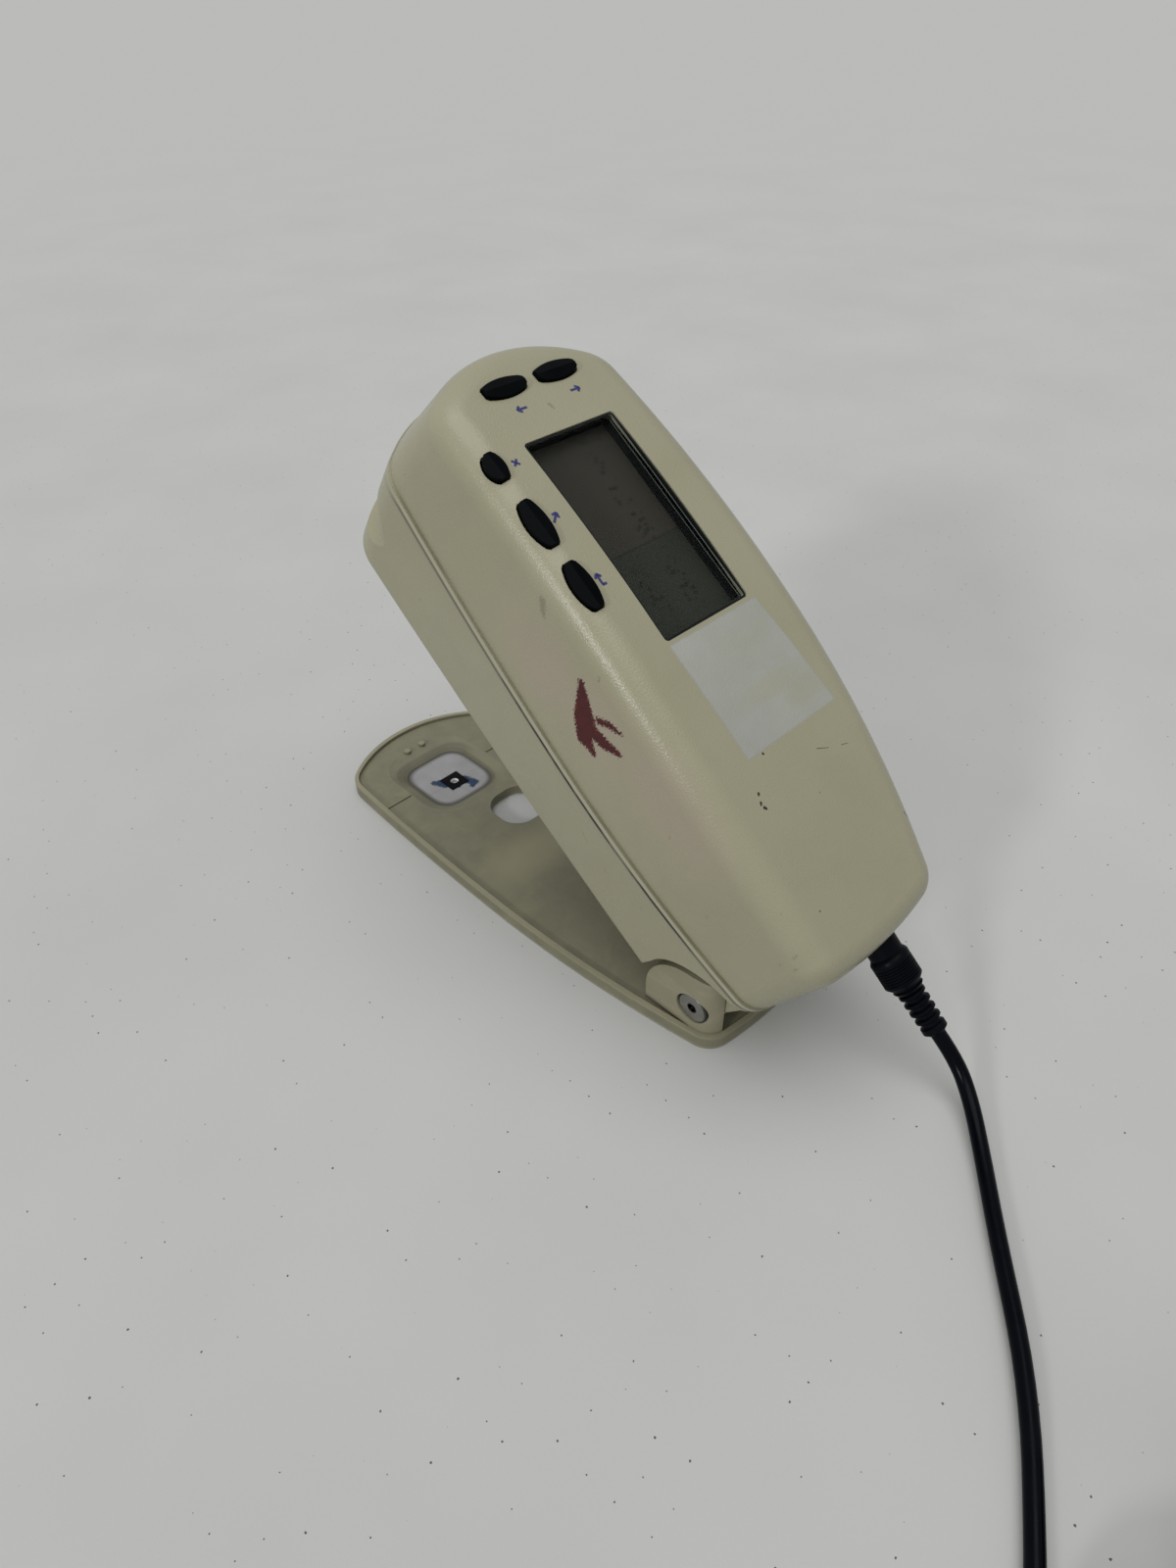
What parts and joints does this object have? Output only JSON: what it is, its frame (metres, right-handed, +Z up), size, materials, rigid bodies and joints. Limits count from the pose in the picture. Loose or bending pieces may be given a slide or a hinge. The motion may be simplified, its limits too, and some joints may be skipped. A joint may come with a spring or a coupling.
{
  "type": "photographic densitometer",
  "caption": "Hand-held densitometer: a keyed instrument body with a display, hinged at the rear on a flat shoe with a lit target, on an adapter lead.",
  "frame": {"origin": "on the table, straight under the middle of the hinge axis", "axes": "+X along the hinge axis, +Y from the hinge to the measuring nose, +Z up; at rest the shoe is flat on the table and the instrument stands open by 40.5 degrees"},
  "size_m": [0.1593, 0.3878, 0.1698],
  "materials": {
    "shell": "fine moulded grain, aged",
    "shoe": "smooth moulded",
    "opal": "milky diffuser",
    "mask": "matt black",
    "steel": "turned",
    "bronze": "sintered",
    "spring_steel": "drawn wire",
    "pane": "clear, lightly scratched",
    "display_trim": "matt black",
    "lcd": "dark grey green",
    "key_black": "satin black",
    "elastomer": "soft",
    "circuit_board": "solder mask",
    "ribbon": "flat cable",
    "optics_metal": "black anodised",
    "lens_glass": "polished",
    "lamp_glass": "clear envelope",
    "cell_jacket": "shrink sleeve",
    "inner_plastic": "moulded",
    "lead_rubber": "glossy black",
    "plug_plastic": "satin black",
    "prong_metal": "plated"
  },
  "bodies": {
    "shoe": {"shoe_plate": "shoe", "target_window": "opal", "aperture_mask": "mask", "hinge_pin_right": "steel", "hinge_pin_left": "steel", "torsion_spring": "spring_steel", "cord_run": "lead_rubber", "cord_coil": "lead_rubber", "power_adapter": "plug_plastic", "adapter_prongs": "prong_metal"},
    "instrument": {"lower_housing": "shell", "top_cover": "shell", "display_window": "pane", "display_frame": "display_trim", "lcd_panel": "lcd", "keypad_mat": "elastomer", "control_board": "circuit_board", "main_board": "circuit_board", "display_ribbon": "ribbon", "optics_housing": "optics_metal", "lens_barrel": "lens_glass", "lamp": "lamp_glass", "sensor_board": "circuit_board", "aperture_snout": "inner_plastic", "battery_cells": "cell_jacket", "battery_cradle": "inner_plastic", "measure_switch": "inner_plastic", "power_socket": "inner_plastic", "hinge_bush_right": "bronze", "hinge_bush_left": "bronze", "housing_screws": "steel", "main_board_screws": "steel", "control_board_screws": "steel", "lead_plug": "plug_plastic", "strain_relief": "plug_plastic"},
    "key_escape": {"key_escape": "key_black"},
    "key_up": {"key_up": "key_black"},
    "key_enter": {"key_enter": "key_black"},
    "key_left": {"key_left": "key_black"},
    "key_right": {"key_right": "key_black"}
  },
  "joints": [
    {"name": "shoe_hinge", "type": "hinge", "parent": "shoe", "child": "instrument", "pos_m": [0, 0, 0.013], "axis": [1, 0, 0], "range_deg": [-40.5, 0], "stiffness_Nm_per_rad": 0.6, "springref_deg": 51.57},
    {"name": "key_escape_press", "type": "slide", "parent": "instrument", "child": "key_escape", "axis": [0.1908, 0.5262, -0.8287], "range_m": [0, 0.0008], "stiffness_N_per_m": 1000, "springref_m": -0.0003},
    {"name": "key_up_press", "type": "slide", "parent": "instrument", "child": "key_up", "axis": [0.1908, 0.5562, -0.8088], "range_m": [0, 0.0008], "stiffness_N_per_m": 1000, "springref_m": -0.0003},
    {"name": "key_enter_press", "type": "slide", "parent": "instrument", "child": "key_enter", "axis": [0.1908, 0.5873, -0.7866], "range_m": [0, 0.0008], "stiffness_N_per_m": 1000, "springref_m": -0.0003},
    {"name": "key_left_press", "type": "slide", "parent": "instrument", "child": "key_left", "axis": [0, 0.501, -0.8655], "range_m": [0, 0.0008], "stiffness_N_per_m": 1000, "springref_m": -0.0003},
    {"name": "key_right_press", "type": "slide", "parent": "instrument", "child": "key_right", "axis": [0, 0.501, -0.8655], "range_m": [0, 0.0008], "stiffness_N_per_m": 1000, "springref_m": -0.0003}
  ]
}
